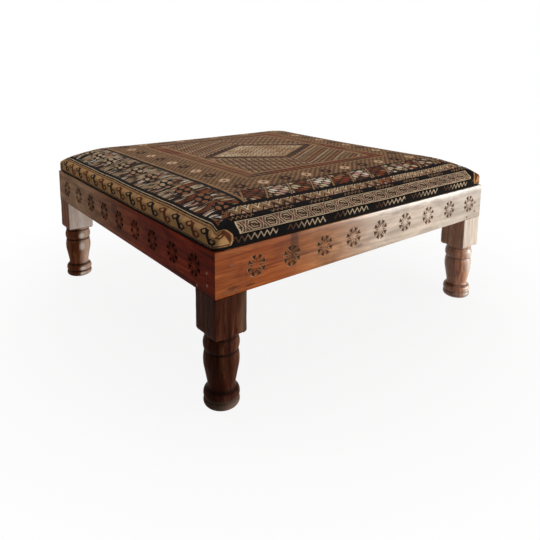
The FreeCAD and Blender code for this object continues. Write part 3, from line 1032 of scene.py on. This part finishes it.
def makeCover():
    cover, u, v = makeSheet("kilimCover", gridLines())
    x, y, z = seatPoints(u, v)
    level = np.maximum(np.abs(u), np.abs(v))
    rise = np.clip((z - seat["wall"]) / (heightAt(0.0) - seat["wall"]), 0, 1)
    z = z - seat["slack"] * rise ** 0.5
    movePoints(cover, np.stack((x, y, z + seat["railTop"]), axis=1))
    rugMap(cover, u, v)
    blowUp(cover, level > wallTop - seat["heldEdge"])
    shaped = {(round(placeU, 6), round(placeV, 6)): vertex.co.copy()
              for placeU, placeV, vertex in zip(u, v, cover.data.vertices)}
    applyModifier(cover, "SUBSURF", levels=1, render_levels=1, uv_smooth="NONE")
    applyModifier(cover, "SOLIDIFY", thickness=seat["kilim"], offset=-1)
    smoothAll(cover)
    return cover, shaped


def makePad(name, shaped, depth, thickness):
    # a layer under the cover, its top a depth inside the cover's outer face
    floor = seat["railTop"] + seat["boardTop"] + seat["padGap"]
    lines = gridLines()
    lines = lines[np.abs(lines) < wallTop + seat["wall"] - seat["boardTop"] + seat["padTuck"]]
    pad, u, v = makeSheet(name, lines)
    shrink = 1 - depth / seat["half"]
    points = []
    for placeU, placeV in zip(u, v):
        co = shaped[(round(placeU, 6), round(placeV, 6))]
        lowered = co.z - depth * min(max((co.z - floor) / seat["padEase"], 0), 1)
        isRim = max(abs(placeU), abs(placeV)) > lines[-1] - nearby
        points.append((co.x * shrink, co.y * shrink, floor if isRim else max(lowered, floor)))
    movePoints(pad, points)
    if thickness:
        applyModifier(pad, "SOLIDIFY", thickness=thickness, offset=-1)
    else:
        selectWhere(pad, "EDGE", lambda mesh, edge: False)
        bpy.ops.mesh.select_non_manifold(extend=False, use_boundary=True)
        bpy.ops.mesh.edge_face_add()
        setMode("OBJECT")
    smoothAll(pad)
    return pad


wool = {
    "black": (0.006, 0.005, 0.005),
    "soot": (0.016, 0.011, 0.01),
    "brown": (0.055, 0.027, 0.018),
    "umber": (0.105, 0.05, 0.028),
    "rust": (0.215, 0.052, 0.022),
    "clay": (0.3, 0.125, 0.06),
    "tan": (0.335, 0.19, 0.094),
    "gold": (0.48, 0.268, 0.114),
    "sand": (0.48, 0.33, 0.2),
    "cream": (0.64, 0.49, 0.32),
    "olive": (0.125, 0.086, 0.046),
    "pink": (0.54, 0.315, 0.24),
    "white": (0.8, 0.71, 0.58),
}


# places on the rug in millimetres from its middle line
bands = {
    "flecks": 112, "diamondLine": 114, "diamond": 122,
    "ringTeeth": (126, 145), "ringInside": 146, "ring": 159,
    "sideFrame": (219, 154), "endFrame": (257, 119),      # start and width round the field
    "sideStart": 373, "sideBlack": 380, "endStart": 376,
    "leafMiddle": 434, "leafHalf": 44, "leafEnd": 482, "redLeaves": -205,
    "lattice": (380, 433), "latticeMiddle": 406.5, "teeth": (442, 468),
    "fineBand": (469.5, 484), "fineZigzag": 476.5,
    "hexagons": (486, 520), "hexagonMiddle": 503, "hexagonLast": 438,
    "wideBand": 521, "wideZigzag": 533, "wideLast": 474,
    "hooks": (499.5, 537), "hookMiddle": 519, "hookGround": (492.5, 541), "hem": 549,
}
# lengths of the repeats in millimetres
repeats = {
    "warp": 2, "pick": 1.5, "chevron": 17, "tooth": 15, "ringTooth": 24, "fleck": (24, 30), "dash": 17,
    "flower": (73, 69), "mesh": 18, "leaf": 9.4, "leafStep": 31, "plume": 92.4, "petal": 30,
    "lattice": 73.2, "slantPetal": (25, 11.6), "triangle": 32, "zone": 62, "fineZigzag": 13, "fineGroup": 118,
    "hexagon": 46.2, "wideZigzag": 17, "wideGroup": 150, "hook": 64,
}
# the hooked border's curved way round a corner, from the sides to the ends
wrap = {"start": 485, "middle": 525, "half": 37, "near": 455, "curve": 33, "turn": 1005}


def repeatOf(value, period):
    # place in a repeat, from minus to plus half the period, and its number
    number = (value / period).floored()
    return value - number * period - period / 2, number


def zigzag(value, period):
    # 0 in the middle of a repeat, 1 at its ends
    place, _ = repeatOf(value, period)
    return abs(place) * (2 / period)


def leafShape(along, across, halfLength, halfWidth):
    along = along / halfLength
    return abs(across) < (1 - along * along) * halfWidth


def chance(wire, first, second):
    spot = wire.node("CombineXYZ", None, {0: first + 0.5, 1: second})
    return wire.node("TexWhiteNoise", {"noise_dimensions": "2D"}, {"Vector": spot})


def kilimMaterial():
    material, wire = newMaterial("flatWovenKilim")
    rug = wire.node("UVMap", {"uv_map": "rug"})
    spot = objectCoords(wire)
    wander = spot.noise(9, 1)
    drift = spot.stretched((1, 1, 1), (3, 5, 7)).noise(9, 1)
    width = 2000 * clothHalf
    u = (rug.axis(0) - 0.5) * width + (wander - 0.5) * 6
    v = (rug.axis(1) - 0.5) * width + (drift - 0.5) * 6
    fuzz = rug.noise(900, 2)
    u = ((u / repeats["warp"]).floored() + 0.5) * repeats["warp"] + (fuzz - 0.5) * 1.6
    v = ((v / repeats["pick"]).floored() + 0.5) * repeats["pick"] + (fuzz - 0.5) * 1.6
    sideways = abs(u)
    endways = abs(v)

    # field: rows of teeth in nested chevrons
    fromMiddle = sideways * 0.65 + endways
    row = fromMiddle / repeats["chevron"]
    number = row.floored()
    kind = (number * 0.25 + 0.05).fraction()
    ground = kind.pick((0, "soot"), (0.25, "brown"), (0.5, "soot"), (0.75, "brown"))
    tooth = kind.pick((0, "tan"), (0.25, "clay"), (0.5, "sand"), (0.75, "tan"))
    colour = mixed(row.fraction() < zigzag(u + number * 4.6, repeats["tooth"]) * 0.95, ground, tooth)

    def paint(mask, tint, blend="MIX"):
        nonlocal colour
        colour = mixed(mask, colour, tint, blend)

    paint((row / 4).fraction() < 0.06, "tan")
    # medallion
    paint(fromMiddle < bands["ring"], "tan")
    tip = zigzag(u, repeats["ringTooth"])
    paint(fromMiddle < tip * 9 + bands["ringInside"], mixed(drift.eased(0.35, 0.65), "soot", "brown"))
    paint(fromMiddle.between(*bands["ringTeeth"]) * ((fromMiddle / 10).fraction() < tip * 0.6), "umber")
    inner = fromMiddle < bands["diamond"]
    paint(inner, mixed(wander.eased(0.3, 0.7), "tan", "cream"))
    wide, tall = repeats["fleck"]
    fleckY, number = repeatOf(v, tall)
    fleckX, _ = repeatOf(u + number * (wide / 2), wide)
    fleck = abs(fleckX) / 11 + abs(fleckY) / 14
    paint((fromMiddle < bands["flecks"]) * fleck.between(0.45, 0.95) * (fuzz > 0.4), "umber")
    paint((fromMiddle < bands["flecks"]) * (fleck < 0.34) * (drift > 0.4), "white")
    paint(fromMiddle.between(bands["diamondLine"], bands["diamond"]), "tan")

    # frame round the field: a light line, a dark guard stripe and the flower band
    sideShare, endShare = ((value - start) / wide for value, (start, wide) in
                           ((sideways, bands["sideFrame"]), (endways, bands["endFrame"])))
    share = sideShare.most(endShare)
    guard = mixed(sideShare > endShare, "umber", "clay")
    paint(share > 0, "brown")
    paint(share.between(0.01, 0.07), "tan")
    dash, _ = repeatOf(u + v, repeats["dash"])
    paint(share.between(0.09, 0.31), mixed(wander > 0.55, guard, "rust"))
    paint(share.between(0.12, 0.28) * (abs(dash) < 5), "soot")
    paint(share.between(0.17, 0.23) * (abs(dash) < 2.6), "tan")
    paint(share.between(0.32, 0.36), "tan")
    inFlowers = share > 0.36
    paint(inFlowers, "brown")
    wide, tall = repeats["flower"]
    flowerX, flowerColumn = repeatOf(u, wide)
    flowerY, flowerRow = repeatOf(v + tall / 2, tall)
    risingMesh, fallingMesh = ((place / repeats["mesh"]).fraction() < 0.46
                               for place in (flowerX + flowerY, flowerX - flowerY))
    paint(inFlowers * (risingMesh + fallingMesh) * 0.52, "tan")
    starX = abs(flowerX)
    starY = abs(flowerY)
    isWhite = ((flowerColumn + flowerRow) * 0.5).fraction() > 0.25
    star = (starX + starY - 17.5).least(starX.most(starY) - 12)
    paint(inFlowers * (star < 3.4), mixed(isWhite, "umber", "clay"))
    paint(inFlowers * (star < 0) * (abs(starX - starY) > 1.5), mixed(isWhite, "black", "cream"))
    paint(inFlowers * (starX + starY < 7), mixed(isWhite, "clay", "rust"))

    # which border a place belongs to
    isSide = (sideways > endways).most((endways < bands["lattice"][1]) * (sideways > bands["sideStart"]))
    turnUnder = (endways - wrap["middle"]) / wrap["half"]
    corner = turnUnder * turnUnder * wrap["curve"] + wrap["near"]
    wrapped = (1 - isSide) * (endways > wrap["start"]) * (sideways > corner)
    outward = endways + isSide * (sideways - endways)
    along = u + isSide * (v - u)
    side = isSide.most(wrapped)
    along = along + wrapped * ((v > 0) * 2 - 1) * (wrap["turn"] - sideways) - wrapped * along
    end = 1 - side

    # sides: light and black lines, then the band of leaves
    paint(side * (outward > bands["sideStart"]), "tan")
    paint(side * (outward > bands["sideBlack"]), "black")
    y = outward - bands["leafMiddle"]
    slant = along - y * 0.45
    stroke, number = repeatOf(slant, repeats["leaf"])
    step = y + 80 + chance(wire, number, 5) * 30
    place, line = repeatOf(step, repeats["leafStep"])
    tone = chance(wire, number, line * 3)
    plume, _ = repeatOf(slant + 75, repeats["plume"])
    isRed = along < bands["redLeaves"]
    bright = mixed(isRed * (tone > 0.25), mixed(tone, "cream", "tan"), mixed(tone, "clay", "rust"))
    leaf = tone.pick((0, "umber"), (0.2, "soot"), (0.36, "tan"), (0.52, "brown"), (0.62, "pink"),
                     (0.76, "cream"), (0.9, "white"))
    leaf = mixed(abs(plume) < 17, leaf, bright)
    inLeaves = side * (abs(y) < bands["leafHalf"])
    paint(inLeaves * leafShape(place, stroke, 16.5, 3.7), leaf)
    x, _ = repeatOf(along + 15, repeats["plume"])
    inBloom = side * ((x / 33) * (x / 33) + (y / 19) * (y / 19) < 1)
    paint(inBloom, "black")
    petalX = repeatOf(along + (y > 0) * 15 + (wander - 0.5) * 24, repeats["petal"])[0] / 12
    petalY = (abs(y) - 8) / 5.6
    bloom = mixed(isRed, mixed(tone, "clay", "cream"), "clay")
    paint(inBloom * (petalX * petalX + petalY * petalY < 1), bloom)

    # ends: dark band with crossing lines and slanting petals
    paint(end * (outward > bands["endStart"]), "black")
    inLattice = end * outward.between(*bands["lattice"])
    y = outward - bands["latticeMiddle"]
    x, cell = repeatOf(along, repeats["lattice"])
    isOdd = (cell * 0.5).fraction() > 0.25
    paint(inLattice, mixed(isOdd, "black", "soot"))
    across = y * 0.86 - x * 0.5
    long, wide = repeats["slantPetal"]
    stroke, number = repeatOf(across, wide)
    place, second = repeatOf(x * 0.86 + y * 0.5 + number * 8, long)
    tone = chance(wire, number + cell * 13, second)
    petal = mixed(isOdd, tone.pick((0, "pink"), (0.3, "white"), (0.5, "umber"), (0.7, "cream")),
                  tone.pick((0, "rust"), (0.35, "clay"), (0.6, "umber"), (0.75, "cream")))
    paint(inLattice * leafShape(place, stroke, 12.5, 5) * (abs(y) < 24), petal)
    x, _ = repeatOf(along + repeats["lattice"] / 2, repeats["lattice"])
    for slope, half, tint in ((-0.5, 4, "soot"), (-0.5, 2, "umber"), (0.5, 5, "soot"), (0.5, 2.8, "tan")):
        paint(inLattice * (abs(x + y * slope) < half), tint)

    # ends: triangle band between black lines
    paint(end * outward.between(bands["lattice"][1], bands["teeth"][0]), "black")
    low, high = bands["teeth"]
    inTeeth = end * outward.between(low, high)
    y = (outward - low) / (high - low)
    line = zigzag(along, repeats["triangle"]) * 0.72 + 0.14
    zone = chance(wire, (along / repeats["zone"]).floored(), 4)
    upper = zone.pick((0, "cream"), (0.35, "clay"), (0.6, "cream"), (0.8, "sand"))
    lower = zone.pick((0, "tan"), (0.35, "rust"), (0.6, "sand"), (0.8, "umber"))
    paint(inTeeth, upper)
    paint(inTeeth * (y > line), lower)
    for half, tint in ((0.13, "brown"), (0.06, "tan")):
        paint(inTeeth * (abs(y - line) < half), tint)
    for off, above, below in ((0.34, "soot", "brown"), (0.54, "pink", "cream")):
        paint(inTeeth * (y > line + off), above)
        paint(inTeeth * (y < line - off), below)
    paint(inTeeth * abs(y - 0.5).between(0.43, 0.47), "brown")

    # ends: narrow black band with small zigzags
    paint(end * (outward > bands["teeth"][1]), "black")
    line = abs(outward - bands["fineZigzag"] - (zigzag(along, repeats["fineZigzag"]) - 0.5) * 8) < 1.3
    group, _ = repeatOf(along, repeats["fineGroup"])
    paint(end * outward.between(*bands["fineBand"]) * line * (abs(group) < 34), "tan")

    # ends: hexagons with hooked outlines and crossed bars between
    inHexagons = end * outward.between(*bands["hexagons"]) * (sideways < bands["hexagonLast"])
    paint(inHexagons, "olive")
    y = outward - bands["hexagonMiddle"]
    x, _ = repeatOf(along, repeats["hexagon"])
    hexagonX = abs(x)
    hexagonY = abs(y)
    ring = (hexagonY / 15.5).most((hexagonX * 0.87 + hexagonY * 0.42) / 17.2)
    paint(inHexagons * (ring < 1), "brown")
    hook = (ring * 2.5 + 0.18).fraction() < 0.42
    gap = (x * y > 0) * (ring < 0.8) * (hexagonY < 5)
    paint(inHexagons * (ring < 1.02) * hook * (1 - gap), (0.47, 0.36, 0.24))
    cross = abs(hexagonY - (repeats["hexagon"] / 2 - hexagonX) * 2.3)
    for half, tint in ((5, "brown"), (2.6, "pink")):
        paint(inHexagons * (cross < half) * (ring > 1.06), tint)
    paint(inHexagons * (hexagonY > 15.4), "cream")
    paint(inHexagons * (sideways > bands["hexagonLast"] - 4), "cream")

    # ends: lowest band, black with groups of zigzags
    line = abs(outward - bands["wideZigzag"] - (zigzag(along, repeats["wideZigzag"]) - 0.5) * 13) < 2
    group, _ = repeatOf(along + 20, repeats["wideGroup"])
    thread = mixed(group.eased(-40, 5), "umber", "cream")
    inWide = end * (outward > bands["wideBand"]) * (sideways < bands["wideLast"])
    paint(inWide * line * (abs(group) < 60) * (fuzz > 0.4), thread)

    # sides: lines and the band of hooked diagonals, which runs round the corners
    paint(side * (outward > bands["leafEnd"]), "black")
    for low, high, tint in ((486, 488.8, "cream"), (*bands["hookGround"], "gold"),
                            (495, 497.2, "umber"), (537.2, 539.4, "umber")):
        paint(side * outward.between(low, high), tint)
    for wide, tint in ((8, "umber"), (4.5, "gold")):
        paint(wrapped * (sideways < corner + wide), tint)
    inHooks = side * outward.between(*bands["hooks"]) * (1 - wrapped * (sideways < corner + 8))
    y = outward - bands["hookMiddle"]
    x, number = repeatOf(along - 8, repeats["hook"])
    isRust = (number * 0.5).fraction() > 0.25
    ink = mixed(isRust, "black", (0.115, 0.034, 0.015))
    way = (y > 0) * 2 - 1
    hookX = x * way
    hookY = abs(y)
    paint(inHooks * (abs(hookX + hookY * 0.6) < 6.4) * (hookY < 17.5), ink)
    flag = abs(hookX + 18) / 16.5 + abs(hookY - 8.5) / 11.5
    paint(inHooks * (flag < 1), ink)
    paint(inHooks * (flag < 0.45), "gold")
    paint(side * (outward > bands["hookGround"][1]), "black")
    paint(outward > bands["hem"], "soot")

    # wool: uneven dye, ribs of the weave and a little fuzz
    dye = rug.stretched((14, 60, 1)).noise(1, 3, 0.6)
    paint(1, dye.ramp((0.25, (0.62, 0.6, 0.58)), (0.75, (1.22, 1.2, 1.16))), "MULTIPLY")
    paint(1, fuzz.ramp((0.3, (0.66, 0.66, 0.66)), (0.7, (1.25, 1.25, 1.25))), "MULTIPLY")
    ribs = zigzag(v, 3) * 0.5 + zigzag(u, 4) * 0.5
    finishMaterial(wire, colour, fuzz * 0.1 + 0.84, ribs * 0.6 + fuzz * 0.8, 0.35, 0.0012,
                   Specular_IOR_Level=0.05)
    return material


def softMaterial(name, low, high, scale):
    material, wire = newMaterial(name)
    spot = objectCoords(wire)
    grain = spot.noise(scale, 4.0, 0.7)
    cloud = spot.noise(scale * 0.06, 2.0)
    colour = mixed(grain * 0.6 + cloud * 0.4, low, high)
    finishMaterial(wire, colour, grain * 0.15 + 0.8, grain, 0.5, 0.002, Sheen_Weight=0.1)
    return material


kilimCover, shaped = makeCover()
setMaterial(kilimCover, kilimMaterial())
foamPad = makePad("foamPad", shaped, seat["kilim"] + seat["wadding"], 0)
setMaterial(foamPad, softMaterial("openFoam", (0.55, 0.47, 0.26), (0.8, 0.72, 0.48), 420.0))
waddingLayer = makePad("waddingLayer", shaped, seat["kilim"], seat["wadding"])
setMaterial(waddingLayer, softMaterial("whiteWadding", (0.66, 0.65, 0.62), (0.86, 0.85, 0.82), 160.0))
padding = ((foamPad, "foam_pad", "foam", 0.9), (waddingLayer, "wadding", "wadding", 0.8))
for piece, node, slot, fill in padding:
    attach(piece, "root")
    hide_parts(node)
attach(kilimCover, "root")
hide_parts("kilim_cover")
print("seat padded and covered")


# carried-over inner frame and fasteners

softwoodLook = {
    "axis": 1, "across": 22.0, "along": 2.0, "place": (0.0, 0.0, 0.0),
    "grain": ((0.25, (0.34, 0.2, 0.095)), (0.5, (0.5, 0.33, 0.17)), (0.75, (0.62, 0.45, 0.26))),
    "pores": 0.3, "poreAndShadeColour": (0.24, 0.13, 0.06), "patchScale": 5.0, "patches": 0.3,
    "patchColour": (0.36, 0.22, 0.11), "rough": 0.55, "bump": 0.3,
}


def metalMaterial(name, low, high, rough):
    material, wire = newMaterial(name)
    spot = objectCoords(wire)
    spots = spot.noise(260.0, 3.0, 0.6)
    finishMaterial(wire, mixed(spots, low, high), spots * 0.25 + rough, spots, 0.2, 0.0004, Metallic=1.0)
    return material


battenWood = woodMaterial("battenWood", softwoodLook)
cleatWood = woodMaterial("cleatWood", dict(softwoodLook, axis=0, place=(0.4, 0.2, 0.0)))
plywood = woodMaterial("plywood", dict(softwoodLook, axis=0, across=9.0, along=1.2, place=(2.0, 1.0, 0.3)))
darkIron = metalMaterial("darkIron", (0.08, 0.036, 0.02), (0.17, 0.08, 0.045), 0.5)
plainSteel = metalMaterial("plainSteel", (0.42, 0.42, 0.43), (0.62, 0.62, 0.63), 0.28)
finishes = {
    "left_batten": battenWood, "middle_batten": battenWood, "right_batten": battenWood,
    "front_cleat": cleatWood, "back_cleat": cleatWood, "seat_board": plywood,
    "rail_nails": darkIron, "cleat_screws": plainSteel, "batten_screws": plainSteel,
    "seat_screws": plainSteel, "cover_staples": plainSteel,
}
for node, material in finishes.items():
    setMaterial(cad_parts[node], material)
print("inner frame finished")

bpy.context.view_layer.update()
deselectAll()
